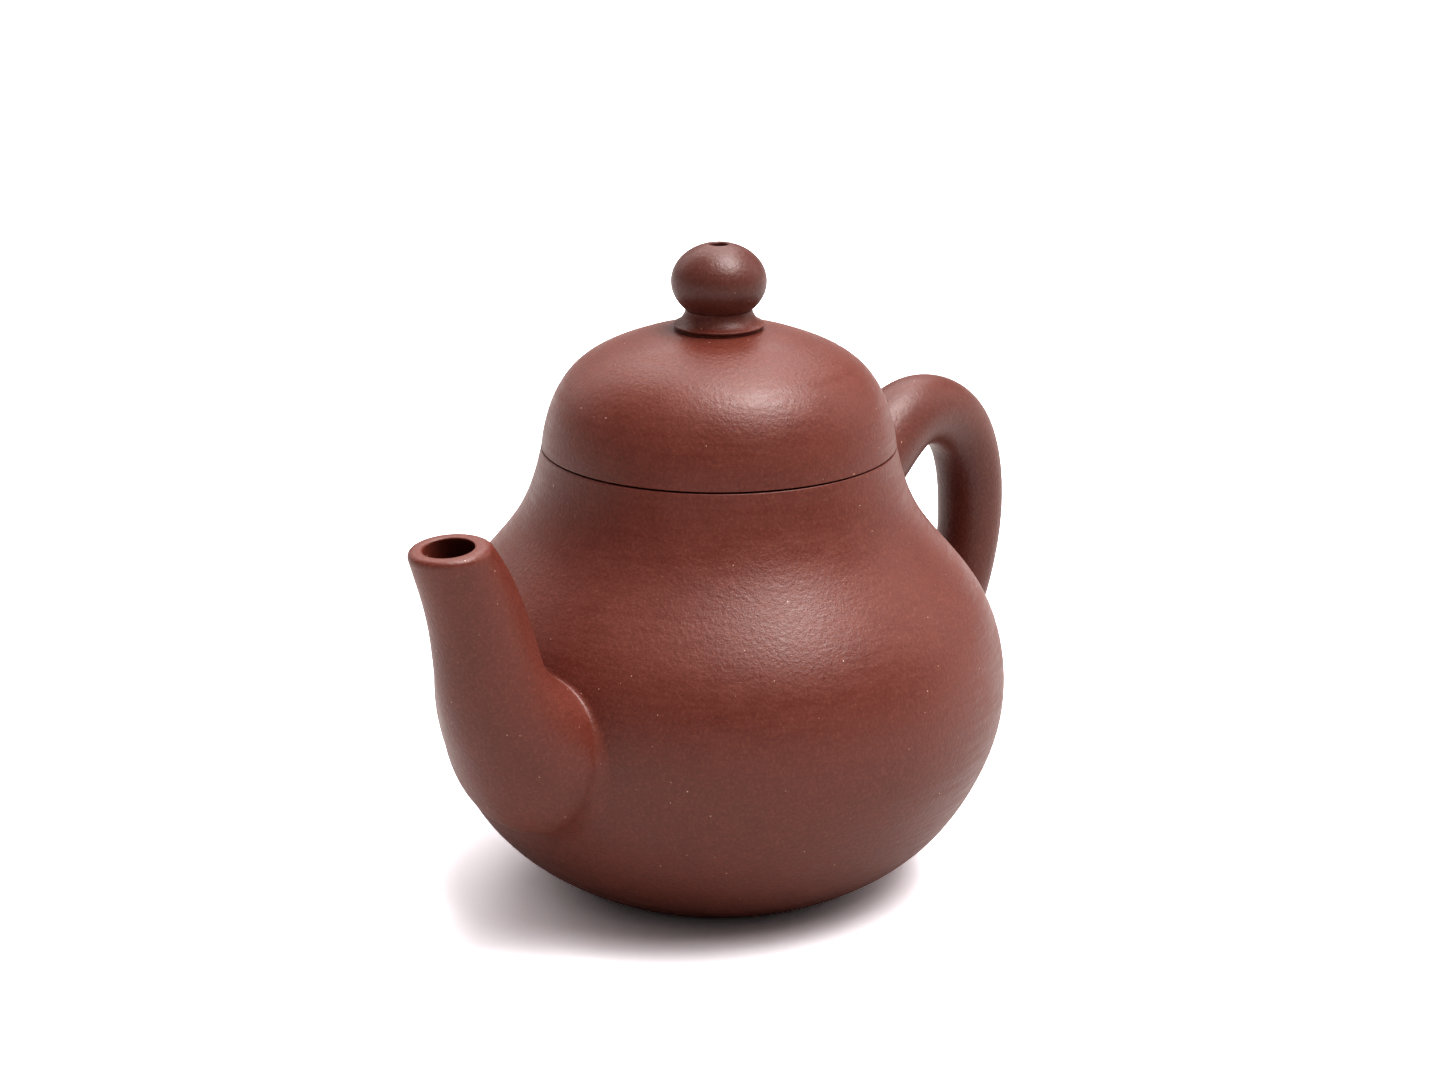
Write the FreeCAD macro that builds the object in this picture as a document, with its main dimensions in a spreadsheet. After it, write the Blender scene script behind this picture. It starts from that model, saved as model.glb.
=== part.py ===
import FreeCAD, Part
import math
import os
import Sketcher

# Yixing clay teapot: a hand-built pot with a bulbous spout, an ear-shaped handle and a lid that
# lifts off.
# Frame: origin at the centre of the flat base, +Z up, the spout towards -X, the handle to +X.
# All sizes are in millimetres.

# ---------------------------------------------------------------- driving dimensions

SIZES = {
    # outside of the pot
    "seam_height": 51.2,
    "seam_radius": 20.0,
    "foot_radius": 15.0,
    "edge_round": 0.3,
    # hollow of the pot: a straight mouth, then a curve down to the floor
    "mouth_radius": 17.4,
    "mouth_clear": 54.0,
    "throat_height": 47.4,
    "flare_height": 46.9,
    "floor_radius": 14.5,
    "floor": 2.5,
    "neck_split": 40.0,
    # lid
    "apex_height": 64.8,
    "plate_top": 53.6,
    "dome_radius": 17.1,
    "dome_height": 62.4,
    "flange_outer": 17.1,
    "flange_inner": 15.1,
    "flange_depth": 8.0,
    "flange_ease": 0.5,
    "vent_radius": 0.95,
    # knob
    "knob_radius": 5.37,
    "knob_half_height": 4.53,
    "knob_centre": 69.9,
    "knob_seat": 66.3,
    "collar_bury": 63.0,
    "vent_round": 0.45,
    # spout
    "spout_wall": 2.1,
    "lip_wall": 1.75,
    "lip_round": 0.85,
    "bore_round": 0.3,
    "inlet_radius": 5.6,
    "inlet_height": 23.9,
    "inlet_reach": 5.0,
    # strainer behind the spout
    "strainer_radius": 7.2,
    "strainer_wall": 1.2,
    "strainer_seat": 29.9,
    "strainer_hole": 0.75,
    "strainer_start": 4.3,
    # slip in the joints
    "bead": 0.8,
    "slip_split": 28.0,
}

# Control points of the outlines between their ends, as (name, radius, height above the base).
WALL_POLES = (
    ("neck", 21.1, 45.5),
    ("throat", 24.4, 40.5),
    ("shoulder", 31.0, 33.8),
    ("belly", 33.25, 24.2),
    ("hip", 31.5, 14.1),
    ("heel", 24.1, 3.7),
)

HOLLOW_POLES = (
    ("neck", 23.1, 37.8),
    ("shoulder", 28.6, 33.0),
    ("belly", 30.8, 23.8),
    ("hip", 28.9, 15.0),
    ("heel", 22.6, 5.9),
)

LID_POLES = (
    ("side", 19.57, 54.7),
    ("brow", 17.4, 60.5),
    ("crown", 10.45, 63.3),
    ("top", 6.2, 64.8),
)

DOME_POLES = (
    ("side", 16.6, 55.3),
    ("brow", 15.3, 58.7),
    ("crown", 9.7, 61.1),
    ("top", 5.6, 62.4),
)

COLLAR_POLES = (
    ("edge", 5.15, 64.95),
    ("flare", 4.3, 65.25),
    ("waist", 3.9, 65.9),
    ("neck", 3.75, 66.8),
)

# Rings of strainer holes: how many holes, and degrees out from the middle one.
STRAINER_RINGS = ((1, 0), (6, 30), (12, 60))

# Round cross sections along the spout and the handle, each as its centre's distance from the axis
# and height above the base, the tilt of its plane from level, and its radius.
COLUMNS = ("reach", "rise", "tilt", "radius")

SPOUT_SECTIONS = (
    (27.2, 23.5, 112.0, 9.7),
    (33.2, 24.6, 84.0, 9.6),
    (37.0, 30.2, 65.0, 7.55),
    (38.7, 36.9, 36.0, 5.85),
    (40.6, 43.3, 23.0, 5.0),
    (43.55, 49.4, 6.0, 4.45),
)

HANDLE_SECTIONS = (
    (19.3, 40.2, 67.5, 5.9),
    (27.8, 43.8, 67.5, 5.1),
    (36.3, 47.4, 89.5, 4.35),
    (44.9, 44.0, 135.0, 4.1),
    (48.2, 35.4, 172.5, 4.05),
    (47.3, 26.2, 197.0, 3.8),
    (43.0, 18.1, 221.0, 3.6),
    (35.5, 12.7, 247.0, 3.5),
    (26.5, 11.2, 274.0, 3.3),
)

OUTLINES = {
    "wall": WALL_POLES,
    "hollow": HOLLOW_POLES,
    "lid": LID_POLES,
    "dome": DOME_POLES,
    "collar": COLLAR_POLES,
}

LIMBS = {"spout": SPOUT_SECTIONS, "handle": HANDLE_SECTIONS}

# Two lengths closer than this are the same length.
CLOSE = 0.01

# The most of the solid spout's volume that can be left once it is hollow.
SOLID_SHARE = 0.8


def all_sizes():
    """Every driving dimension as its name and number."""
    sizes = list(SIZES.items())
    for outline, poles in OUTLINES.items():
        for place, radius, height in poles:
            sizes.append(("%s_%s_radius" % (outline, place), radius))
            sizes.append(("%s_%s_height" % (outline, place), height))
    for limb, sections in LIMBS.items():
        for place, section in enumerate(sections):
            for column, number in zip(COLUMNS, section):
                sizes.append(("%s_%s_%d" % (limb, column, place), number))
    return sizes


doc = FreeCAD.newDocument("teapot")
sheet = doc.addObject("Spreadsheet::Sheet", "dims")
for row, (alias, number) in enumerate(all_sizes(), 1):
    sheet.set("A%d" % row, alias)
    sheet.set("B%d" % row, str(number))
    sheet.setAlias("B%d" % row, alias)
doc.recompute()


# ---------------------------------------------------------------- helpers

def size(alias):
    return float(sheet.get(alias))


def new_body(name):
    body = doc.addObject("PartDesign::Body", name)
    body.Label = name
    return body


def origin_plane(body, role):
    return [f for f in body.Origin.OriginFeatures if f.Role == role][0]


def new_sketch(body, name, role="XZ_Plane"):
    sketch = body.newObject("Sketcher::SketchObject", name)
    sketch.AttachmentSupport = [(origin_plane(body, role), "")]
    sketch.MapMode = "FlatFace"
    return sketch


def bind(sketch, constraint, name, expression):
    """Add a dimension to a sketch and drive it from the sheet."""
    number = sketch.addConstraint(constraint)
    sketch.renameConstraint(number, name)
    sketch.setExpression("Constraints." + name, expression)


def pin(sketch, geometry, point, name, radius, height):
    """Fix one point of a sketch at (radius, height), each the name of a size, or None for zero."""
    for kind, axis, alias in (("DistanceX", -2, radius), ("DistanceY", -1, height)):
        if alias is None:
            sketch.addConstraint(Sketcher.Constraint("PointOnObject", geometry, point, axis))
        else:
            length = Sketcher.Constraint(kind, -1, 1, geometry, point, size(alias))
            bind(sketch, length, name + kind[-1], "dims." + alias)


def poles_of(outline):
    """The names of the radius and the height of each control point of one outline."""
    places = [place for place, radius, height in OUTLINES[outline]]
    return [("%s_%s_radius" % (outline, p), "%s_%s_height" % (outline, p)) for p in places]


def spline(sketch, poles):
    """Draw a smooth curve whose control points are bound to the sheet; poles are pairs of names."""
    points = []
    for radius, height in poles:
        x = 0.0 if radius is None else size(radius)
        y = 0.0 if height is None else size(height)
        points.append(FreeCAD.Vector(x, y, 0))
    curve = Part.BSplineCurve()
    spans = len(points) - 3
    knots = [i / spans for i in range(spans + 1)]
    mults = [4] + [1] * (spans - 1) + [4]
    curve.buildFromPolesMultsKnots(points, mults, knots, False, 3)
    index = sketch.addGeometry(curve, False)
    sketch.exposeInternalGeometry(index)
    for number, (radius, height) in enumerate(poles):
        pin(sketch, index + 1 + number, 3, "pole%d" % number, radius, height)
    return index


def close_outline(sketch, index, corners):
    """Close a spline with straight lines from its end through the corners back to its start."""
    first = sketch.getPoint(index, 1)
    last = sketch.getPoint(index, 2)
    stops = [last]
    for radius, height in corners:
        x = 0.0 if radius is None else size(radius)
        y = 0.0 if height is None else size(height)
        stops.append(FreeCAD.Vector(x, y, 0))
    stops.append(first)
    previous = (index, 2)
    for number, (start, end) in enumerate(zip(stops[:-1], stops[1:])):
        line = sketch.addGeometry(Part.LineSegment(start, end), False)
        sketch.addConstraint(Sketcher.Constraint("Coincident", previous[0], previous[1], line, 1))
        if number < len(corners):
            pin(sketch, line, 2, "corner%d" % number, corners[number][0], corners[number][1])
        previous = (line, 2)
    sketch.addConstraint(Sketcher.Constraint("Coincident", previous[0], previous[1], index, 1))


def turned(name, poles, corners):
    """A solid of revolution whose outline is a smooth curve closed by straight lines."""
    body = new_body(name)
    outline = new_sketch(body, name + "_outline")
    close_outline(outline, spline(outline, poles), corners)
    turn = body.newObject("PartDesign::Revolution", name + "_turn")
    turn.Profile = outline
    turn.ReferenceAxis = (outline, ["V_Axis"])
    turn.Angle = 360.0
    outline.Visibility = False
    doc.recompute()
    return body


def boolean(kind, name, base, tool):
    result = doc.addObject("Part::" + kind, name)
    result.Label = name
    result.Base = base
    result.Tool = tool
    doc.recompute()
    return result


def cylinder(name, radius, height, bottom="0 mm"):
    """An upright cylinder; radius, height and bottom are expressions."""
    rod = doc.addObject("Part::Cylinder", name)
    rod.setExpression("Radius", radius)
    rod.setExpression("Height", height)
    rod.setExpression("Placement.Base.z", bottom)
    doc.recompute()
    return rod


def edges_of(shape, test):
    """Numbers, from 1, of the edges of a shape that pass a test."""
    return [n for n, edge in enumerate(shape.Edges, 1) if test(edge)]


def is_ring(edge, radius, height):
    """Whether an edge is a circle of this radius at this height."""
    box = edge.BoundBox
    flat = box.ZLength < CLOSE and abs(box.ZMin - height) < CLOSE
    return flat and abs(box.XMax - radius) < CLOSE and edge.isClosed()


def rounded(name, base, edges, radius):
    result = doc.addObject("Part::Fillet", name)
    result.Label = name
    result.Base = base
    result.Edges = [(n, radius, radius) for n in edges]
    doc.recompute()
    return result


# ---------------------------------------------------------------- pot: wall, neck and base

seam = ("seam_radius", "seam_height")
pot_outline = [seam] + poles_of("wall") + [("foot_radius", None)]
pot_outside = turned("pot_outside", pot_outline, [(None, None), (None, "seam_height")])
mouth_curve = [("mouth_radius", "throat_height"), ("mouth_radius", "flare_height")]
hollow_outline = mouth_curve + poles_of("hollow") + [("floor_radius", "floor")]
hollow_corners = [(None, "floor"), (None, "mouth_clear"), ("mouth_radius", "mouth_clear")]
pot_hollow = turned("pot_hollow", hollow_outline, hollow_corners)

# The pot is three pieces of clay: the base disc, the beaten wall and the neck ring.
base_zone = cylinder("base_zone", "dims.seam_radius * 2", "dims.floor")
neck_zone = cylinder("neck_zone", "dims.seam_radius * 2", "dims.seam_height", "dims.neck_split")
base_slab = boolean("Common", "base_slab", pot_outside, base_zone)
pot_upper = boolean("Cut", "pot_upper", pot_outside, base_zone)
pot_shell = boolean("Cut", "pot_shell", pot_upper, pot_hollow)
neck_blank = boolean("Common", "neck_blank", pot_shell, neck_zone)
wall_blank = boolean("Cut", "wall_blank", pot_shell, neck_zone)


def at_seam(edge):
    return is_ring(edge, size("seam_radius"), size("seam_height"))


neck_edge = edges_of(neck_blank.Shape, at_seam)
neck_band = rounded("neck_band", neck_blank, neck_edge, size("edge_round"))


# ---------------------------------------------------------------- spout and handle

def section_sketch(body, limb, side, place, change=None, sign="-"):
    """One round cross section of a limb, its radius changed by one of the sizes.

    side is -1 towards the spout and 1 towards the handle.
    """
    kind = "%s_%s" % (body.Name, change or "skin")
    sketch = new_sketch(body, "%s_%d" % (kind, place), "XY_Plane")
    reach, rise, tilt, radius = ["%s_%s_%d" % (limb, column, place) for column in COLUMNS]
    lean = FreeCAD.Rotation(FreeCAD.Vector(0, side, 0), size(tilt))
    sketch.AttachmentOffset = FreeCAD.Placement(FreeCAD.Vector(0, 0, 0), lean)
    sketch.setExpression("AttachmentOffset.Base.x", "%d * dims.%s" % (side, reach))
    sketch.setExpression("AttachmentOffset.Base.z", "dims." + rise)
    sketch.setExpression("AttachmentOffset.Rotation.Angle", "dims." + tilt)
    expression = "dims." + radius
    drawn = size(radius)
    if change:
        expression += " %s dims.%s" % (sign, change)
        drawn += size(change) if sign == "+" else -size(change)
    draw_round(sketch, drawn)
    sketch.setExpression("Constraints.radius", expression)
    return sketch


def draw_round(sketch, radius):
    """A circle in four quarters, whose ends on the sketch axes keep a loft from twisting."""
    circle = Part.Circle(FreeCAD.Vector(0, 0, 0), FreeCAD.Vector(0, 0, 1), radius)
    quarter = math.pi / 2
    for turn in range(4):
        sketch.addGeometry(Part.ArcOfCircle(circle, turn * quarter, (turn + 1) * quarter), False)
    for turn in range(4):
        axis = -1 if turn % 2 else -2
        following = (turn + 1) % 4
        sketch.addConstraint(Sketcher.Constraint("Coincident", turn, 3, -1, 1))
        sketch.addConstraint(Sketcher.Constraint("Coincident", turn, 2, following, 1))
        sketch.addConstraint(Sketcher.Constraint("PointOnObject", turn, 2, axis))
    number = sketch.addConstraint(Sketcher.Constraint("Radius", 0, radius))
    sketch.renameConstraint(number, "radius")


def loft(body, feature, name, sketches):
    """A smooth skin through the cross sections, added to the body or cut from it."""
    skin = body.newObject("PartDesign::" + feature, name)
    skin.Profile = sketches[0]
    skin.Sections = sketches[1:]
    skin.Ruled = False
    for sketch in sketches:
        sketch.Visibility = False
    doc.recompute()
    return skin


def make_spout_blank():
    """The hollow spout before it is trimmed to the wall, with its rounded lip."""
    body = new_body("spout_blank")
    places = range(len(SPOUT_SECTIONS))
    skin = [section_sketch(body, "spout", -1, place) for place in places]
    loft(body, "AdditiveLoft", "spout_skin", skin)
    solid_volume = body.Shape.Volume
    last = places[-1]
    bore = [section_sketch(body, "spout", -1, place, "spout_wall") for place in places[:-1]]
    bore.append(section_sketch(body, "spout", -1, last, "lip_wall"))
    cut = loft(body, "SubtractiveLoft", "spout_bore", bore)
    if body.Shape.Volume > SOLID_SHARE * solid_volume:
        raise RuntimeError("the spout is not hollow")
    lip = body.newObject("PartDesign::Fillet", "spout_lip")
    outer = edges_of(cut.Shape, lambda edge: is_lip(edge, 0.0))
    lip.Base = (cut, ["Edge%d" % n for n in outer])
    lip.setExpression("Radius", "dims.lip_round")
    doc.recompute()
    inner = edges_of(lip.Shape, lambda edge: is_lip(edge, size("lip_wall")))
    bore_edge = body.newObject("PartDesign::Fillet", "bore_edge")
    bore_edge.Base = (lip, ["Edge%d" % n for n in inner])
    bore_edge.setExpression("Radius", "dims.bore_round")
    doc.recompute()
    return body


def is_lip(edge, thickness):
    """Whether an edge is part of the rim of the lip, as far in from the outside as the thickness."""
    last = len(SPOUT_SECTIONS) - 1
    radius = size("spout_radius_%d" % last) - thickness
    centre = FreeCAD.Vector(-size("spout_reach_%d" % last), 0, size("spout_rise_%d" % last))
    middle = edge.valueAt((edge.FirstParameter + edge.LastParameter) / 2)
    points = [vertex.Point for vertex in edge.Vertexes] + [middle]
    return all(abs(point.distanceToPoint(centre) - radius) < 2 * CLOSE for point in points)


def make_handle_blank():
    """The solid roll of the handle, run into the pot at both ends before it is trimmed."""
    body = new_body("handle_blank")
    skin = [section_sketch(body, "handle", 1, place) for place in range(len(HANDLE_SECTIONS))]
    loft(body, "AdditiveLoft", "handle_skin", skin)
    return body


spout_blank = make_spout_blank()
handle_blank = make_handle_blank()
spout = boolean("Cut", "spout", spout_blank, pot_outside)
handle = boolean("Cut", "handle", handle_blank, pot_outside)


# ---------------------------------------------------------------- slip in the joints

def swollen(name, limb, side, sections):
    """A limb that is one bead thicker all round, run as far into the pot as the limb."""
    body = new_body(name)
    skin = [section_sketch(body, limb, side, place, "bead", "+") for place in range(len(sections))]
    loft(body, "AdditiveLoft", name + "_skin", skin)
    return body


def make_slip(name, limb_blank, thick_limb):
    """Slip in the corner between a limb and the wall: within a bead's width of both."""
    corner = boolean("Common", name + "_corner", thick_limb, pot_swollen)
    beside = boolean("Cut", name + "_beside", corner, pot_outside)
    return boolean("Cut", name, beside, limb_blank)


def make_pot_swollen():
    """The outside of the pot, grown by one bead all round."""
    grown = doc.addObject("Part::Offset", "pot_swollen")
    grown.Source = pot_outside
    grown.Mode = 0
    grown.Join = 2
    grown.setExpression("Value", "dims.bead")
    doc.recompute()
    return grown


pot_swollen = make_pot_swollen()
thick_spout = swollen("thick_spout", "spout", -1, SPOUT_SECTIONS)
thick_handle = swollen("thick_handle", "handle", 1, HANDLE_SECTIONS)
spout_form = doc.getObject("spout_skin")
spout_joint_slip = make_slip("spout_joint_slip", spout_form, thick_spout)
handle_slip = make_slip("handle_slip", handle_blank, thick_handle)
upper_zone = cylinder("upper_zone", "dims.seam_radius * 3", "dims.seam_height", "dims.slip_split")
handle_upper_joint_slip = boolean("Common", "handle_upper_joint_slip", handle_slip, upper_zone)
handle_lower_joint_slip = boolean("Cut", "handle_lower_joint_slip", handle_slip, upper_zone)


# ---------------------------------------------------------------- inlet and strainer

def ball(name, radius):
    """A ball centred where the strainer sits on the inside of the wall."""
    sphere = doc.addObject("Part::Sphere", name)
    sphere.setExpression("Radius", radius)
    sphere.setExpression("Placement.Base.x", "-dims.strainer_seat")
    sphere.setExpression("Placement.Base.z", "dims.inlet_height")
    doc.recompute()
    return sphere


def bored(name, radius, length, start, direction):
    """A rod for cutting a hole, from a distance along a direction out of the ball's centre."""
    rod = doc.addObject("Part::Cylinder", name)
    turn = FreeCAD.Rotation(FreeCAD.Vector(0, 0, 1), direction)
    rod.Placement = FreeCAD.Placement(FreeCAD.Vector(0, 0, 0), turn)
    rod.setExpression("Radius", radius)
    rod.setExpression("Height", length)
    rod.setExpression("Placement.Base.x", "%.6f * %s - dims.strainer_seat" % (direction.x, start))
    rod.setExpression("Placement.Base.y", "%.6f * %s" % (direction.y, start))
    rod.setExpression("Placement.Base.z", "%.6f * %s + dims.inlet_height" % (direction.z, start))
    return rod


def strainer_holes():
    """One hole straight in, and rings of holes round it, all pointing at the ball's centre."""
    rods = []
    for ring, (count, spread) in enumerate(STRAINER_RINGS):
        for place in range(count):
            around = 2 * math.pi * place / count
            lean = math.radians(spread)
            side = math.sin(lean)
            way = FreeCAD.Vector(math.cos(lean), side * math.cos(around), side * math.sin(around))
            name = "strainer_rod_%d_%d" % (ring, place)
            sizes = ("dims.strainer_hole", "dims.strainer_radius", "dims.strainer_start")
            rods.append(bored(name, *sizes, way))
    group = doc.addObject("Part::Compound", "strainer_rods")
    group.Links = rods
    doc.recompute()
    return group


outward = FreeCAD.Vector(-1, 0, 0)
inlet = bored("inlet", "dims.inlet_radius", "dims.inlet_reach * 2", "-dims.inlet_reach", outward)
doc.recompute()
body_wall = boolean("Cut", "body_wall", wall_blank, inlet)
strainer_outer = ball("strainer_outer", "dims.strainer_radius")
strainer_inner = ball("strainer_inner", "dims.strainer_radius - dims.strainer_wall")
strainer_shell = boolean("Cut", "strainer_shell", strainer_outer, strainer_inner)
strainer_dome = boolean("Common", "strainer_dome", strainer_shell, pot_hollow)
ball_strainer = boolean("Cut", "ball_strainer", strainer_dome, strainer_holes())


# ---------------------------------------------------------------- lid

def make_flange():
    """The ring under the lid, with eased lower edges."""
    body = new_body("lid_flange")
    rings = new_sketch(body, "flange_rings", "XY_Plane")
    rings.setExpression("AttachmentOffset.Base.z", "dims.seam_height")
    for name in ("flange_outer", "flange_inner"):
        circle = Part.Circle(FreeCAD.Vector(0, 0, 0), FreeCAD.Vector(0, 0, 1), size(name))
        index = rings.addGeometry(circle, False)
        rings.addConstraint(Sketcher.Constraint("Coincident", index, 3, -1, 1))
        bind(rings, Sketcher.Constraint("Radius", index, size(name)), name, "dims." + name)
    ring = body.newObject("PartDesign::Pad", "flange_ring")
    ring.Profile = rings
    ring.Reversed = True
    ring.setExpression("Length", "dims.flange_depth")
    doc.recompute()
    bottom = size("seam_height") - size("flange_depth")
    ease = body.newObject("PartDesign::Fillet", "flange_ease")
    low = edges_of(ring.Shape, lambda e: e.isClosed() and abs(e.BoundBox.ZMax - bottom) < CLOSE)
    ease.Base = (ring, ["Edge%d" % n for n in low])
    ease.setExpression("Radius", "dims.flange_ease")
    rings.Visibility = False
    doc.recompute()
    return body


lid_outline = [seam] + poles_of("lid") + [(None, "apex_height")]
lid_outside = turned("lid_outside", lid_outline, [(None, "seam_height")])
dome_outline = [("dome_radius", "plate_top")] + poles_of("dome") + [(None, "dome_height")]
dome_hollow = turned("dome_hollow", dome_outline, [(None, "plate_top")])
vent = cylinder("vent", "dims.vent_radius", "dims.seam_height", "dims.plate_top")
plate_zone = cylinder("plate_zone", "dims.seam_radius * 2", "dims.plate_top")
plate_hole = cylinder("plate_hole", "dims.flange_inner", "dims.apex_height")
dome_solid = boolean("Cut", "dome_solid", lid_outside, plate_zone)
dome_blank = boolean("Cut", "dome_blank", dome_solid, dome_hollow)
lid_dome = boolean("Cut", "lid_dome", dome_blank, vent)
plate_disc = boolean("Common", "plate_disc", lid_outside, plate_zone)
plate_ring = boolean("Cut", "plate_ring", plate_disc, plate_hole)
plate_edge = edges_of(plate_ring.Shape, at_seam)
lid_plate = rounded("lid_plate", plate_ring, plate_edge, size("edge_round"))
lid_flange = make_flange()


# ---------------------------------------------------------------- knob

def make_ball_blank():
    """A ball flattened from top to bottom."""
    knob = doc.addObject("Part::Ellipsoid", "ball_blank")
    knob.setExpression("Radius1", "dims.knob_half_height")
    knob.setExpression("Radius2", "dims.knob_radius")
    knob.setExpression("Radius3", "dims.knob_radius")
    knob.setExpression("Placement.Base.z", "dims.knob_centre")
    doc.recompute()
    return knob


def at_vent_top(edge):
    middle = edge.BoundBox.Center
    wide = abs(edge.BoundBox.XLength - 2 * size("vent_radius")) < CLOSE
    return edge.isClosed() and wide and middle.z > size("knob_centre")


ball_blank = make_ball_blank()
seat_zone = cylinder("seat_zone", "dims.seam_radius", "dims.knob_seat")
ball_seated = boolean("Cut", "ball_seated", ball_blank, seat_zone)
ball_bored = boolean("Cut", "ball_bored", ball_seated, vent)
vent_edge = edges_of(ball_bored.Shape, at_vent_top)
knob_ball = rounded("knob_ball", ball_bored, vent_edge, size("vent_round"))
collar_corners = [
    (None, "collar_neck_height"),
    (None, "collar_bury"),
    ("collar_edge_radius", "collar_bury"),
]
collar_blank = turned("collar_blank", poles_of("collar"), collar_corners)
collar_on_lid = boolean("Cut", "collar_on_lid", collar_blank, lid_outside)
collar_seat = boolean("Cut", "collar_seat", collar_on_lid, ball_seated)
knob_collar = boolean("Cut", "knob_collar", collar_seat, vent)


# ---------------------------------------------------------------- finished pieces

SUB_PARTS = (
    body_wall,
    neck_band,
    base_slab,
    spout,
    ball_strainer,
    spout_joint_slip,
    handle,
    handle_upper_joint_slip,
    handle_lower_joint_slip,
    lid_dome,
    lid_plate,
    lid_flange,
    knob_collar,
    knob_ball,
)

doc.recompute()
for thing in doc.Objects:
    if "Invalid" in thing.State or "Error" in thing.State:
        raise RuntimeError("%s failed: %s" % (thing.Name, thing.getStatusString()))
for piece in SUB_PARTS:
    if piece.Shape.isNull() or not piece.Shape.isValid():
        raise RuntimeError("%s has no valid shape" % piece.Label)

os.makedirs("parts", exist_ok=True)
for piece in SUB_PARTS:
    piece.Shape.exportStep("parts/%s.step" % piece.Label)
    volume = piece.Shape.Volume
    print("%-24s %2d solid %9.1f mm3" % (piece.Label, len(piece.Shape.Solids), volume))
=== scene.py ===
import math

import bmesh
import bpy
import numpy as np
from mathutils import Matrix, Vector, noise


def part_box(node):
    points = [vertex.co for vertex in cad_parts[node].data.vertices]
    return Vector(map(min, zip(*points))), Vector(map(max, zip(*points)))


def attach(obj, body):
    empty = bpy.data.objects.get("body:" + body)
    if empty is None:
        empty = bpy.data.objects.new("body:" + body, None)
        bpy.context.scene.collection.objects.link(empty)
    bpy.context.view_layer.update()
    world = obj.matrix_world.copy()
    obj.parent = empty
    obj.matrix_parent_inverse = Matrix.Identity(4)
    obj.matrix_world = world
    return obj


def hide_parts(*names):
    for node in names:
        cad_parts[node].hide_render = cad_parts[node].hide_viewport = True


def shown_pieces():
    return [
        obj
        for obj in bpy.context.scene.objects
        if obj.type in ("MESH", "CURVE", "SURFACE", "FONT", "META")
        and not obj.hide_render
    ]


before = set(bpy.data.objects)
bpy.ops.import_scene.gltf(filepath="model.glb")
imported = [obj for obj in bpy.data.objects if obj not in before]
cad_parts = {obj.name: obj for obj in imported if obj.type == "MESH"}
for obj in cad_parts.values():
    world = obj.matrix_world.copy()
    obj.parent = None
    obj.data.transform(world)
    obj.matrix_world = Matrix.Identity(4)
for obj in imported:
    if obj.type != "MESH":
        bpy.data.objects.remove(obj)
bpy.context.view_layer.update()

# Lengths below are in millimetres, in the CAD's frame: the pot stands on z = 0 round the Z axis,
# its spout points to -X and its handle to +X. MM turns them into metres.
MM = 0.001

# ---------------------------------------------------------------- sizes from the CAD

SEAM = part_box("lid_plate")[0].z / MM
SEAM_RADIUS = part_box("lid_plate")[1].x / MM
LID_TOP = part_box("lid_dome")[1].z / MM
PLATE_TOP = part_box("lid_plate")[1].z / MM
FLANGE_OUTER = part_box("lid_flange")[1].x / MM
FLANGE_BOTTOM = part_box("lid_flange")[0].z / MM
KNOB_LOW, KNOB_HIGH = (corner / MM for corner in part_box("knob_ball"))
KNOB_RADIUS = KNOB_HIGH.x
FLOOR = 2.5
FOOT_RADIUS = 15.0
FLOOR_RADIUS = 14.5
MOUTH_RADIUS = 17.4
FLANGE_INNER = 15.1
DOME_RADIUS = 17.1
DOME_TOP = 62.4
VENT_RADIUS = 0.95
COLLAR_EDGE = 5.15
COLLAR_NECK = 3.75
KNOB_CENTRE = 69.9
INLET_RADIUS = 5.6
INLET_HEIGHT = 23.9
INLET_CENTRE = -30
INLET_LENGTH = 12
SEAM_GAP = 0.12
SPOUT_WALL = 2.1
LIP_WALL = 1.75
LIP_ROUND = 0.85
BORE_ROUND = 0.3

# Control points of the outlines, as (radius, height).
WALL = [(SEAM_RADIUS, SEAM), (21.1, 45.5), (24.4, 40.5), (31.0, 33.8), (33.25, 24.2),
        (31.5, 14.1), (24.1, 3.7), (FOOT_RADIUS, 0.0)]
HOLLOW = [(MOUTH_RADIUS, 47.4), (MOUTH_RADIUS, 46.9), (23.1, 37.8), (28.6, 33.0), (30.8, 23.8),
          (28.9, 15.0), (22.6, 5.9), (FLOOR_RADIUS, FLOOR)]
LID = [(SEAM_RADIUS, SEAM), (19.57, 54.7), (17.4, 60.5), (10.45, 63.3), (6.2, LID_TOP),
       (0.0, LID_TOP)]
DOME = [(DOME_RADIUS, PLATE_TOP), (16.6, 55.3), (15.3, 58.7), (9.7, 61.1), (5.6, DOME_TOP),
        (0.0, DOME_TOP)]

# Cross sections of the limbs: distance of the centre from the axis, its height, the heading of the
# limb from straight up in degrees, and the radius.
SPOUT = [(27.2, 23.5, 112.0, 9.7), (33.2, 24.6, 84.0, 9.6), (37.0, 30.2, 65.0, 7.55),
         (38.7, 36.9, 36.0, 5.85), (40.6, 43.3, 23.0, 5.0), (43.55, 49.4, 6.0, 4.45)]
HANDLE = [(19.3, 40.2, 67.5, 5.9), (27.8, 43.8, 67.5, 5.1), (36.3, 47.4, 89.5, 4.35),
          (44.9, 44.0, 135.0, 4.1), (48.2, 35.4, 172.5, 4.05), (47.3, 26.2, 197.0, 3.8),
          (43.0, 18.1, 221.0, 3.6), (35.5, 12.7, 247.0, 3.5), (26.5, 11.2, 274.0, 3.3)]

# ---------------------------------------------------------------- curves


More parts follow.
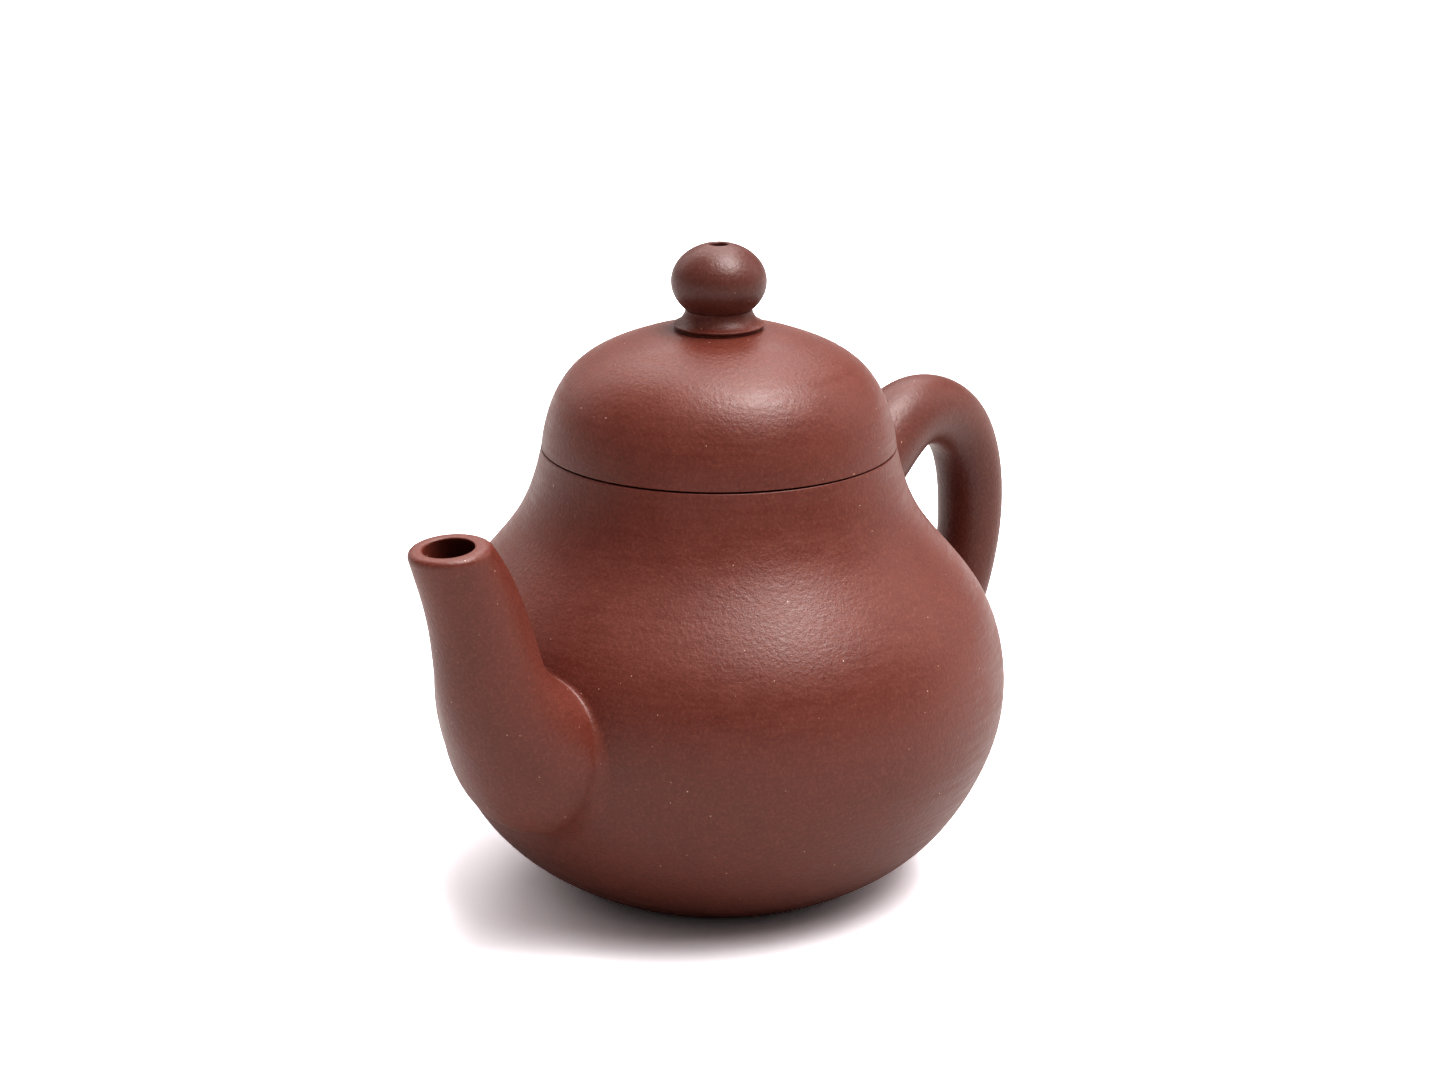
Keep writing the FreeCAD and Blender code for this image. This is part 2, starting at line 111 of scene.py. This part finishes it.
def bspline(poles, count):
    """Points along the cubic curve that a list of control points gives."""
    poles = np.asarray(poles, float)
    spans = len(poles) - 3
    knots = np.concatenate([np.zeros(3), np.linspace(0, 1, spans + 1), np.ones(3)])
    at = np.linspace(0, 1 - 1e-9, count)
    weight = [((knots[i] <= at) & (at < knots[i + 1])).astype(float) for i in range(len(knots) - 1)]
    for degree in (1, 2, 3):
        raised = []
        for i in range(len(weight) - 1):
            whole = np.zeros(count)
            rise = knots[i + degree] - knots[i]
            fall = knots[i + degree + 1] - knots[i + 1]
            if rise > 0:
                whole += (at - knots[i]) / rise * weight[i]
            if fall > 0:
                whole += (knots[i + degree + 1] - at) / fall * weight[i + 1]
            raised.append(whole)
        weight = raised
    return np.array(weight).T @ poles


def line(start, end, count):
    share = np.linspace(0, 1, count)[:, None]
    return np.asarray(start, float) * (1 - share) + np.asarray(end, float) * share


def bend(start, corner, end, t):
    """The place at a share t of a smooth turn from start to end whose tangents meet at the corner."""
    return (1 - t) ** 2 * start + 2 * t * (1 - t) * corner + t ** 2 * end


def joined(*runs):
    """One path through several runs of points, without the doubled points where they meet."""
    path = [runs[0]]
    for run in runs[1:]:
        path.append(run[1:] if np.linalg.norm(run[0] - path[-1][-1]) < 1e-6 else run)
    return np.vstack(path)


def eased(path, corner, reach, count=9):
    """Rounds one corner of a path, taking up this much of it on each side."""
    away = np.linalg.norm(path - np.asarray(corner, float), axis=1)
    before = after = int(np.argmin(away))
    corner = path[before].copy()
    while away[before] < reach:
        before -= 1
    while away[after] < reach:
        after += 1
    ends = [corner + (path[i] - corner) / away[i] * reach for i in (before, after)]
    turn = bend(ends[0], corner, ends[1], np.linspace(0, 1, count)[:, None])
    return np.vstack([path[:before + 1], turn, path[after:]])


def through(knots, values, at):
    """A natural cubic spline through rows of values at the knots, read at other places."""
    knots, values = np.asarray(knots, float), np.asarray(values, float)
    count, gap = len(knots), np.diff(knots)
    system, wanted = np.eye(count), np.zeros(values.shape)
    for i in range(1, count - 1):
        system[i, i - 1:i + 2] = gap[i - 1], 2 * (gap[i - 1] + gap[i]), gap[i]
        slope = (values[i + 1] - values[i]) / gap[i] - (values[i] - values[i - 1]) / gap[i - 1]
        wanted[i] = 6 * slope
    curve = np.linalg.solve(system, wanted)
    span = np.clip(np.searchsorted(knots, at) - 1, 0, count - 2)
    width = gap[span][:, None]
    right = (np.asarray(at) - knots[span])[:, None] / width
    left = 1 - right
    lift = ((left ** 3 - left) * curve[span] + (right ** 3 - right) * curve[span + 1]) * width ** 2 / 6
    return left * values[span] + right * values[span + 1] + lift


# ---------------------------------------------------------------- meshes

# How far the surface wanders, and how far apart its rises are.
UNEVEN = 0.05
UNEVEN_SIZE = 14.0


def piece(name, body, points, faces, replaced):
    """A closed smooth mesh in the CAD's frame that rides on a body in place of CAD nodes.

    Hand work leaves it a little uneven, by the same amount wherever two pieces meet.
    """
    mesh = bpy.data.meshes.new(name)
    mesh.from_pydata([Vector(p) for p in points], [], faces)
    work = bmesh.new()
    work.from_mesh(mesh)
    bmesh.ops.remove_doubles(work, verts=work.verts, dist=1e-5)
    bmesh.ops.recalc_face_normals(work, faces=work.faces)
    work.normal_update()
    for vertex in work.verts:
        vertex.co -= vertex.normal * UNEVEN * (0.5 + noise.noise(vertex.co / UNEVEN_SIZE))
        vertex.co *= MM
    for face in work.faces:
        face.smooth = True
    work.to_mesh(mesh)
    work.free()
    made = bpy.data.objects.new(name, mesh)
    bpy.context.scene.collection.objects.link(made)
    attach(made, body)
    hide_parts(*replaced)
    return made


def grid_faces(rows, columns, closed_rows=False):
    """Quads between the neighbouring rings of a grid of points, ring after ring."""
    faces = []
    for i in range(rows if closed_rows else rows - 1):
        for j in range(columns):
            following, beside = (i + 1) % rows, (j + 1) % columns
            faces.append((i * columns + j, i * columns + beside,
                          following * columns + beside, following * columns + j))
    return faces


def revolved(name, body, path, replaced, turns=224):
    """A solid of revolution: the path either closes on itself or starts and ends on the axis."""
    around = np.arange(turns) * 2 * math.pi / turns
    closed = np.linalg.norm(path[0] - path[-1]) < 1e-6
    if closed:
        path = path[:-1]
    points = [(r * math.cos(a), r * math.sin(a), z) for r, z in path for a in around]
    return piece(name, body, points, grid_faces(len(path), turns, closed), replaced)


# ---------------------------------------------------------------- pot

# The outside of the wall, closely spaced, for finding what lies where along it.
OUTSIDE = bspline(WALL, 3000)


def make_pot():
    """The pot's wall, neck and base as one closed skin, inside and out."""
    hollow = bspline(HOLLOW, 90)
    path = joined(
        line((0.0, FLOOR), (FLOOR_RADIUS, FLOOR), 12),
        hollow[::-1],
        line(hollow[0], (MOUTH_RADIUS, SEAM), 8),
        line((MOUTH_RADIUS, SEAM), (SEAM_RADIUS, SEAM), 30),
        bspline(WALL, 150),
        line((FOOT_RADIUS, 0.0), (0.0, 0.0), 12),
    )
    path = eased(path, (FLOOR_RADIUS, FLOOR), 2.0)
    path = eased(path, (MOUTH_RADIUS, SEAM), 0.35)
    path = eased(path, (SEAM_RADIUS, SEAM), 0.2)
    path = eased(path, (FOOT_RADIUS, 0.0), 0.5)
    return revolved("pot_shell", "pot", path, ["body_wall", "neck_band", "base_slab"])


def cut_inlet(pot):
    """Opens the wall behind the spout, where the strainer covers it from the inside."""
    bpy.ops.mesh.primitive_cylinder_add(
        vertices=96, radius=INLET_RADIUS * MM, depth=INLET_LENGTH * MM,
        location=(INLET_CENTRE * MM, 0, INLET_HEIGHT * MM), rotation=(0, math.pi / 2, 0))
    rod = bpy.context.object
    cut = pot.modifiers.new("inlet", "BOOLEAN")
    cut.operation, cut.solver, cut.object = "DIFFERENCE", "EXACT", rod
    finished = pot.evaluated_get(bpy.context.evaluated_depsgraph_get())
    opened = bpy.data.meshes.new_from_object(finished)
    pot.modifiers.clear()
    pot.data = opened
    pot.data.name = pot.name
    bpy.data.objects.remove(rod)


# ---------------------------------------------------------------- limbs

# Points round a limb, and how far the slip's thin edge and the ends of a limb lie in the wall.
AROUND = 96
FEATHER_DEPTH = 0.012
EDGE_DEPTH = 0.4
END_DEPTH = 0.8

# How far the smeared slip reaches from the corner at a root: the spout's on top and underneath,
# and the handle's all round.
SMEAR_ABOVE = 0.9
SMEAR_BELOW = 1.9
HANDLE_SMEAR = 1.3

# The share of the spout's length over which its wall thins towards the lip.
LIP_TAPER = 0.25


def height_above_pot(points):
    """How far each point lies outside the pot's wall, and its nearest point on that wall."""
    flat = np.hypot(points[:, 0], points[:, 1])
    seen = np.stack([flat, points[:, 2]], 1)
    gap = ((seen[:, None, :] - OUTSIDE[None, ::4, :]) ** 2).sum(2)
    near = np.clip(np.argmin(gap, 1) * 4, 2, len(OUTSIDE) - 3)
    for _ in range(2):
        window = np.clip(near[:, None] + np.arange(-4, 5), 1, len(OUTSIDE) - 2)
        close = ((seen[:, None, :] - OUTSIDE[window]) ** 2).sum(2)
        near = window[np.arange(len(near)), np.argmin(close, 1)]
    along = OUTSIDE[near + 1] - OUTSIDE[near - 1]
    out = np.stack([-along[:, 1], along[:, 0]], 1)
    out /= np.linalg.norm(out, axis=1)[:, None]
    high = ((seen - OUTSIDE[near]) * out).sum(1)
    foot = seen - out * high[:, None]
    turn = points[:, :2] / flat[:, None]
    nearest = np.column_stack([foot[:, 0, None] * turn, foot[:, 1]])
    normal = np.column_stack([out[:, 0, None] * turn, out[:, 1]])
    return high, nearest, normal


class Limb:
    """A round limb whose sections lie in the XZ plane, read at any share of its length."""

    def __init__(self, sections, side):
        self.rows = np.asarray(sections, float)
        self.side = side
        step = np.linalg.norm(np.diff(self.rows[:, :2], axis=0), axis=1)
        self.knots = np.concatenate([[0], np.cumsum(step)])
        self.knots /= self.knots[-1]
        self.length = step.sum()

    def points(self, share, angle, inward=0.0):
        """Surface points at shares of the length and angles round it, moved in from the skin."""
        share, angle, inward = np.broadcast_arrays(share, angle, inward)
        reach, rise, heading, radius = through(self.knots, self.rows, share.ravel()).T
        lean = np.radians(heading)
        radius = radius - inward.ravel()
        across = radius * np.cos(angle.ravel())
        x = self.side * (reach + across * np.cos(lean))
        z = rise - across * np.sin(lean)
        y = radius * np.sin(angle.ravel())
        return np.stack([x, y, z], 1).reshape(share.shape + (3,))

    def leaves_pot(self, angle, inward, near, far, depth=0.0):
        """The share of the length, between two, at which each line along the limb leaves the pot."""
        low, high = np.full(len(angle), near), np.full(len(angle), far)
        for _ in range(24):
            middle = (low + high) / 2
            outside = height_above_pot(self.points(middle, angle, inward))[0] > depth
            low, high = np.where(outside, low, middle), np.where(outside, middle, high)
        return (low + high) / 2


def root(limb, angle, leaving, toward, reach, count=9):
    """Rings that carry a limb's skin over its slip onto the pot and then under the pot's skin."""
    meeting = limb.points(leaving, angle)
    share = reach / limb.length * toward
    start = limb.points(leaving + share, angle)
    away = meeting - limb.points(leaving, angle, 0.5)
    _, nearest, normal = height_above_pot(meeting)
    away -= normal * (away * normal).sum(1)[:, None]
    away /= np.linalg.norm(away, axis=1)[:, None]
    landing = nearest + away * np.reshape(reach, (-1, 1))
    for _ in range(8):
        landing = (np.roll(landing, 1, 0) + 2 * landing + np.roll(landing, -1, 0)) / 4
    _, landing, below = height_above_pot(landing)
    feather = landing - below * FEATHER_DEPTH
    rings = [bend(start, meeting, feather, t) for t in np.linspace(0, 1, count)]
    buried = [landing - below * EDGE_DEPTH, nearest - normal * END_DEPTH]
    return rings, buried


def quarter(count):
    """The sines and cosines of angles from 0 to 90 degrees."""
    return [(math.sin(a), math.cos(a)) for a in np.linspace(0, math.pi / 2, count)]


def make_spout():
    """The spout from its buried root up to the lip and down inside to where its bore enters the wall."""
    limb = Limb(SPOUT, -1)
    angle = np.arange(AROUND) * 2 * math.pi / AROUND
    leaving = limb.leaves_pot(angle, 0.0, 0.0, 0.75)
    smear = SMEAR_ABOVE + (SMEAR_BELOW - SMEAR_ABOVE) * (0.5 + 0.5 * np.cos(angle))
    fillet, buried = root(limb, angle, leaving, 1, smear, 16)
    start = leaving + smear / limb.length
    tip = 1 - LIP_ROUND / limb.length
    rings = buried[::-1] + fillet[::-1]
    for t in np.linspace(0, 1, 90)[1:]:
        rings.append(limb.points(start + (tip - start) * t, angle))
    lip = [(LIP_ROUND * (1 - cos), LIP_ROUND * (1 - sin)) for sin, cos in quarter(12)[1:]]
    lip += [(LIP_WALL - BORE_ROUND * (1 - sin), BORE_ROUND * (1 - cos)) for sin, cos in quarter(6)]
    for inward, down in lip:
        rings.append(limb.points(1 - down / limb.length, angle, inward))
    ending = limb.leaves_pot(angle, SPOUT_WALL, 0.0, 0.6, -0.5)
    top = 1 - BORE_ROUND / limb.length
    for t in np.linspace(0, 1, 50)[1:]:
        share = top + (ending - top) * t
        wall = LIP_WALL + (SPOUT_WALL - LIP_WALL) * np.clip((1 - share) / LIP_TAPER, 0, 1)
        rings.append(limb.points(share, angle, wall))
    rings = np.array(rings)
    faces = grid_faces(len(rings), AROUND, True)
    return piece("spout_skin", "pot", rings.reshape(-1, 3), faces, ["spout", "spout_joint_slip"])


def capped(rings):
    """A tube of rings closed at both ends with a point."""
    rows, columns = rings.shape[:2]
    points = list(rings.reshape(-1, 3)) + [rings[0].mean(0), rings[-1].mean(0)]
    faces = grid_faces(rows, columns)
    first, last = rows * columns, rows * columns + 1
    for j in range(columns):
        beside = (j + 1) % columns
        faces.append((first, beside, j))
        faces.append((last, (rows - 1) * columns + j, (rows - 1) * columns + beside))
    return points, faces


def make_handle():
    """The handle with its smeared slip at both ends, which are buried in the wall."""
    limb = Limb(HANDLE, 1)
    angle = np.arange(AROUND) * 2 * math.pi / AROUND
    upper = limb.leaves_pot(angle, 0.0, 0.0, 0.3)
    lower = limb.leaves_pot(angle, 0.0, 1.0, 0.7)
    top, top_buried = root(limb, angle, upper, 1, HANDLE_SMEAR)
    low, low_buried = root(limb, angle, lower, -1, HANDLE_SMEAR)
    share = HANDLE_SMEAR / limb.length
    start, end = upper + share, lower - share
    shares = [start + (end - start) * t for t in np.linspace(0, 1, 170)[1:-1]]
    middle = [limb.points(share, angle) for share in shares]
    rings = np.array(top_buried[::-1] + top[::-1] + middle + low + low_buried)
    points, faces = capped(rings)
    nodes = ["handle", "handle_upper_joint_slip", "handle_lower_joint_slip"]
    return piece("handle_skin", "pot", points, faces, nodes)


# ---------------------------------------------------------------- lid

def make_lid():
    """The dome, the plate that it sits on the mouth with, and the flange, with the vent open."""
    outside, inside = bspline(LID, 120), bspline(DOME, 70)
    low = SEAM + SEAM_GAP
    outside[:, 1] = np.maximum(outside[:, 1], low)
    outside = outside[outside[:, 0] > VENT_RADIUS]
    inside = inside[inside[:, 0] > VENT_RADIUS]
    path = joined(
        outside,
        line((VENT_RADIUS, LID_TOP), (VENT_RADIUS, DOME_TOP), 8),
        inside[::-1],
        line((DOME_RADIUS, PLATE_TOP), (FLANGE_INNER, PLATE_TOP), 8),
        line((FLANGE_INNER, PLATE_TOP), (FLANGE_INNER, FLANGE_BOTTOM), 30),
        line((FLANGE_INNER, FLANGE_BOTTOM), (FLANGE_OUTER, FLANGE_BOTTOM), 12),
        line((FLANGE_OUTER, FLANGE_BOTTOM), (FLANGE_OUTER, low), 24),
        line((FLANGE_OUTER, low), outside[0], 30),
    )
    path = eased(path, (FLANGE_INNER, PLATE_TOP), 0.6)
    path = eased(path, (FLANGE_INNER, FLANGE_BOTTOM), 0.5)
    path = eased(path, (FLANGE_OUTER, FLANGE_BOTTOM), 0.5)
    rim = eased(np.vstack([path[-20:-1], path[:20]]), outside[0], 0.13)
    path = np.vstack([path[20:-20], rim])
    path = np.vstack([path, path[:1]])
    return revolved("lid_shell", "lid", path, ["lid_dome", "lid_plate", "lid_flange"])


def make_collar():
    """The flared foot under the ball, with the vent through it."""
    neck_height = KNOB_LOW.z + 0.5
    lower_edge = (COLLAR_EDGE - 0.3, LID_TOP + 0.02)
    upper_edge = (COLLAR_EDGE - 0.1, LID_TOP + 0.42)
    edge = bspline([lower_edge, (COLLAR_EDGE, LID_TOP + 0.05),
                    (COLLAR_EDGE + 0.06, LID_TOP + 0.36), upper_edge], 14)
    flare = bspline([upper_edge, (4.45, LID_TOP + 0.62), (3.95, LID_TOP + 1.15),
                     (COLLAR_NECK, neck_height)], 40)
    under = LID_TOP - 1.2
    path = joined(
        edge,
        flare,
        line(flare[-1], (VENT_RADIUS, neck_height), 10),
        line((VENT_RADIUS, neck_height), (VENT_RADIUS, under), 8),
        line((VENT_RADIUS, under), (lower_edge[0], under), 8),
        line((lower_edge[0], under), edge[0], 8),
    )
    revolved("knob_collar_skin", "lid", path, ["knob_collar"], 160)


def make_ball():
    """The flattened ball, with the vent through it."""
    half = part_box("knob_ball")[1].z / MM - KNOB_CENTRE
    turn = np.linspace(-0.5 * math.pi, 0.5 * math.pi, 120)
    ball = np.column_stack([KNOB_RADIUS * np.cos(turn), KNOB_CENTRE + half * np.sin(turn)])
    ball = ball[(ball[:, 1] > KNOB_LOW.z) & (ball[:, 0] > VENT_RADIUS)]
    bottom, top = (VENT_RADIUS, ball[0, 1]), (VENT_RADIUS, ball[-1, 1])
    path = joined(
        line(bottom, ball[0], 8),
        ball,
        line(ball[-1], top, 2),
        line(top, bottom, 30),
    )
    path = eased(path, top, 0.45)
    revolved("knob_ball_skin", "lid", path, ["knob_ball"], 160)


pot = make_pot()
cut_inlet(pot)
make_spout()
make_handle()
make_lid()
make_collar()
make_ball()

# ---------------------------------------------------------------- clay


def node(tree, kind, inputs=(), **settings):
    """Adds a shader node, sets its settings, and fills its inputs with numbers or links."""
    made = tree.nodes.new("ShaderNode" + kind)
    for key, setting in settings.items():
        setattr(made, key, setting)
    for socket, value in dict(inputs).items():
        if isinstance(value, bpy.types.NodeSocket):
            tree.links.new(value, made.inputs[socket])
        else:
            made.inputs[socket].default_value = value
    return made


def spread(tree, value, low, high, to_low, to_high):
    """A number read from one range and written to another, without going past its ends."""
    inputs = {"Value": value, "From Min": low, "From Max": high, "To Min": to_low, "To Max": to_high}
    return node(tree, "MapRange", inputs).outputs["Result"]


def calculate(tree, operation, first, second):
    """The result of one sum on two numbers or links."""
    return node(tree, "Math", {0: first, 1: second}, operation=operation).outputs[0]


def mixed(tree, factor, first, second):
    """One colour turned into another by a factor; the numbers are the node's colour sockets."""
    return node(tree, "Mix", {0: factor, 6: first, 7: second}, data_type="RGBA").outputs[2]


def cloud(tree, place, size, detail=3.0, rough=0.5):
    """Soft noise whose features are this many millimetres across."""
    inputs = {"Vector": place, "Scale": 1 / (size * MM), "Detail": detail, "Roughness": rough}
    return node(tree, "TexNoise", inputs).outputs["Fac"]


def flecks(tree, place, spacing, size, share):
    """Round grains of this size, one in a share of the cells this far apart; 1 on a grain."""
    cells = node(tree, "TexVoronoi", {"Vector": place, "Scale": 1 / (spacing * MM)})
    chosen = node(tree, "SeparateColor", {0: cells.outputs["Color"]})
    grown = spread(tree, chosen.outputs[1], 0, 1, 0.5, 1.0)
    edge = calculate(tree, "MULTIPLY", grown, size / 2 / spacing)
    inside = calculate(tree, "SUBTRACT", edge, cells.outputs["Distance"])
    shape = spread(tree, inside, 0.0, size / 8 / spacing, 0.0, 1.0)
    picked = calculate(tree, "LESS_THAN", chosen.outputs[0], share)
    return calculate(tree, "MULTIPLY", shape, picked)


def emptied(owner):
    """The node tree of a material or world, with nothing in it."""
    owner.use_nodes = True
    owner.node_tree.nodes.clear()
    return owner.node_tree


# The clay's colours: its broad variation, mottling, tool streaks, grain, and the two kinds of fleck.
DEEP_RED, WARM_RED = (0.126, 0.0325, 0.0218), (0.145, 0.0388, 0.0258)
MOTTLE_RED = (0.166, 0.047, 0.032)
STREAK_BROWN = (0.105, 0.023, 0.016)
DARK_GRAIN, LIGHT_GRAIN = (0.086, 0.021, 0.015), (0.24, 0.092, 0.060)
DARK_FLECK, PALE_FLECK = (0.05, 0.022, 0.02, 1), (0.70, 0.50, 0.38, 1)


def clay(name, streaks, painted_shade=(1, 1, 1)):
    """Fine unglazed red-brown clay, burnished: satin, with grain, flecks and faint tool streaks.

    Its last argument is painted shade: the share of the clay's red, green and blue kept where a whole
    piece is painted darker and greyer to stand for shade.
    """
    # A colour darkened by the painted shade.
    def with_painted_shade(colour):
        return [channel * left for channel, left in zip(colour, painted_shade)] + [1]

    material = bpy.data.materials.new(name)
    tree = emptied(material)
    place = node(tree, "TexCoord").outputs["Object"]
    flat = node(tree, "Mapping", {"Vector": place, "Scale": (0.22, 0.22, 2.6)}).outputs["Vector"]
    broad = cloud(tree, place, 18, 2)
    mottle = cloud(tree, place, 2.6, 4, 0.6)
    grain = cloud(tree, place, 0.34, 3, 0.6)
    streak = cloud(tree, flat, 1.5, 3, 0.6)
    tone = mixed(tree, spread(tree, broad, 0.35, 0.65, 0, 1), with_painted_shade(DEEP_RED), with_painted_shade(WARM_RED))
    for source, low, high, most, colour in (
            (mottle, 0.35, 0.7, 0.45, MOTTLE_RED),
            (streak, 0.45, 0.75, 0.3 * streaks, STREAK_BROWN),
            (grain, 0.5, 0.75, 0.4, DARK_GRAIN),
            (grain, 0.47, 0.25, 0.35, LIGHT_GRAIN)):
        tone = mixed(tree, spread(tree, source, low, high, 0, most), tone, with_painted_shade(colour))
    pale = flecks(tree, place, 0.9, 0.17, 0.15)
    dark = flecks(tree, place, 1.5, 0.22, 0.15)
    tone = mixed(tree, calculate(tree, "MULTIPLY", dark, 0.6), tone, DARK_FLECK)
    tone = mixed(tree, calculate(tree, "MULTIPLY", pale, 0.85), tone, PALE_FLECK)
    rough = calculate(tree, "ADD", spread(tree, mottle, 0.3, 0.7, 0.36, 0.43),
                      spread(tree, streak, 0.4, 0.7, 0.05 * streaks, -0.04 * streaks))
    peel = cloud(tree, place, 0.5, 2, 0.5)
    fine = cloud(tree, place, 0.2, 2, 0.5)
    height = calculate(tree, "ADD", calculate(tree, "MULTIPLY", peel, 0.048),
                       calculate(tree, "MULTIPLY", fine, 0.026))
    height = calculate(tree, "ADD", height, calculate(tree, "MULTIPLY", streak, 0.012 * streaks))
    height = calculate(tree, "SUBTRACT", height, calculate(tree, "MULTIPLY", dark, 0.012))
    bump = node(tree, "Bump", {"Height": height, "Strength": 1.0, "Distance": MM}).outputs["Normal"]
    shader = node(tree, "BsdfPrincipled", {
        "Base Color": tone, "Roughness": rough, "Normal": bump, "IOR": 1.5})
    node(tree, "OutputMaterial", {"Surface": shader.outputs[0]})
    return material


turned_clay = clay("clay_turned", 1.0)
rolled_clay = clay("clay_rolled", 0.35)
# The handle and the knob get darker, greyer copies of the clay: painted shade, not a colour of their
# own.
handle_clay_painted_shade = clay("clay_handle_painted_shade", 0.35, (0.87, 0.92, 0.95))
knob_clay_painted_shade = clay("clay_knob_painted_shade", 0.35, (0.77, 0.87, 0.95))
finishes = {"spout_skin": rolled_clay, "handle_skin": handle_clay_painted_shade,
            "knob_collar_skin": rolled_clay, "knob_ball_skin": knob_clay_painted_shade}
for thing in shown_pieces():
    thing.data.materials.clear()
    thing.data.materials.append(finishes.get(thing.name, turned_clay))

# ---------------------------------------------------------------- camera, light and floor

# The camera's compass heading from the pot, its distance and height from the middle of the seam in
# metres, how far it looks down, and its lens and sensor in millimetres.
SEAM_MIDDLE = Vector((0, 0, SEAM * MM))
AZIMUTH = math.radians(-50)
DISTANCE = 0.380
RISE = 0.10627
DOWN = math.radians(17.225)
LENS, SENSOR = 87.58, 36.0
SHIFT = 0.0025
TOWARDS_CAMERA = Vector((math.sin(AZIMUTH), -math.cos(AZIMUTH), 0.0))

# Each lamp's name, heading, height and width in degrees, and strength.
LAMPS = [
    ("key", 75, 69, 38, 1.55),
    ("high", 105, 78, 36, 1.5),
    ("right", 50, 58, 34, 0.85),
    ("back", 180, 52, 50, 1.1),
    ("front", -30, 60, 40, 0.12),
    ("back_left", -135, 30, 40, 0.35),
    ("low_right", 110, 27, 40, 0.35),
]

# The floor's colour as it lights the pot, and as the camera sees it.
FLOOR_LIT, FLOOR_SEEN = (0.62, 0.61, 0.60, 1), (1.50, 1.46, 1.50, 1)
WHITE = (1, 1, 1, 1)


def placed(name, data):
    made = bpy.data.objects.new(name, data)
    bpy.context.scene.collection.objects.link(made)
    return made


def add_camera():
    data = bpy.data.cameras.new("camera")
    data.lens, data.sensor_width, data.shift_x = LENS, SENSOR, SHIFT
    data.clip_start, data.clip_end = 0.01, 20.0
    made = placed("camera", data)
    made.location = SEAM_MIDDLE + TOWARDS_CAMERA * DISTANCE + Vector((0, 0, RISE))
    made.rotation_euler = (math.pi / 2 - DOWN, 0, AZIMUTH)
    bpy.context.scene.camera = made


def add_lamp(name, heading, height, width, strength):
    """A large soft lamp far away.

    Its heading is in degrees from the camera's side, towards the right of the view; its height is
    in degrees above the floor.
    """
    data = bpy.data.lights.new(name, "SUN")
    data.angle, data.energy = math.radians(width), strength
    made = placed(name, data)
    turn, lift = AZIMUTH + math.radians(heading), math.radians(height)
    flat = math.cos(lift)
    way = Vector((math.sin(turn) * flat, -math.cos(turn) * flat, math.sin(lift)))
    made.location = way
    made.rotation_euler = (-way).to_track_quat("-Z", "Y").to_euler()


def add_floor():
    """A pale floor that looks brighter to the eye than the light it throws back on the pot."""
    bpy.ops.mesh.primitive_plane_add(size=12, location=(0, 0, 0))
    floor = bpy.context.object
    floor.name = "floor"
    material = bpy.data.materials.new("floor")
    material.use_nodes = True
    tree = material.node_tree
    eye = node(tree, "LightPath").outputs["Is Camera Ray"]
    tone = mixed(tree, eye, FLOOR_LIT, FLOOR_SEEN)
    shader = tree.nodes["Principled BSDF"]
    tree.links.new(tone, shader.inputs["Base Color"])
    shader.inputs["Roughness"].default_value = 0.8
    shader.inputs["Specular IOR Level"].default_value = 0.1
    floor.data.materials.append(material)


def add_world():
    """White all round to the eye; what lights the pot is softer, and dimmer on the camera's side."""
    world = bpy.data.worlds.new("studio")
    bpy.context.scene.world = world
    tree = emptied(world)
    way = node(tree, "TexCoord").outputs["Generated"]
    up = node(tree, "SeparateXYZ", {0: way}).outputs[2]
    facing = node(tree, "VectorMath", {0: way, 1: TOWARDS_CAMERA}, operation="DOT_PRODUCT")
    low_glow = spread(tree, up, 0.0, 0.35, 0.52, 0.05)
    dimmed = spread(tree, facing.outputs["Value"], -0.2, 0.8, 1.0, 0.3)
    sky_glow = spread(tree, up, 0.0, 0.8, 0.0, 0.3)
    glow = calculate(tree, "ADD", calculate(tree, "MULTIPLY", low_glow, dimmed), sky_glow)
    seen = node(tree, "Background", {"Color": WHITE, "Strength": 1.0})
    lit = node(tree, "Background", {"Color": WHITE, "Strength": glow})
    eye = node(tree, "LightPath").outputs["Is Camera Ray"]
    both = node(tree, "MixShader", {0: eye, 1: lit.outputs[0], 2: seen.outputs[0]})
    node(tree, "OutputWorld", {"Surface": both.outputs[0]})


add_camera()
add_floor()
add_world()
for lamp in LAMPS:
    add_lamp(*lamp)
bpy.context.scene.view_settings.view_transform = "Standard"
bpy.context.scene.view_settings.look = "High Contrast"
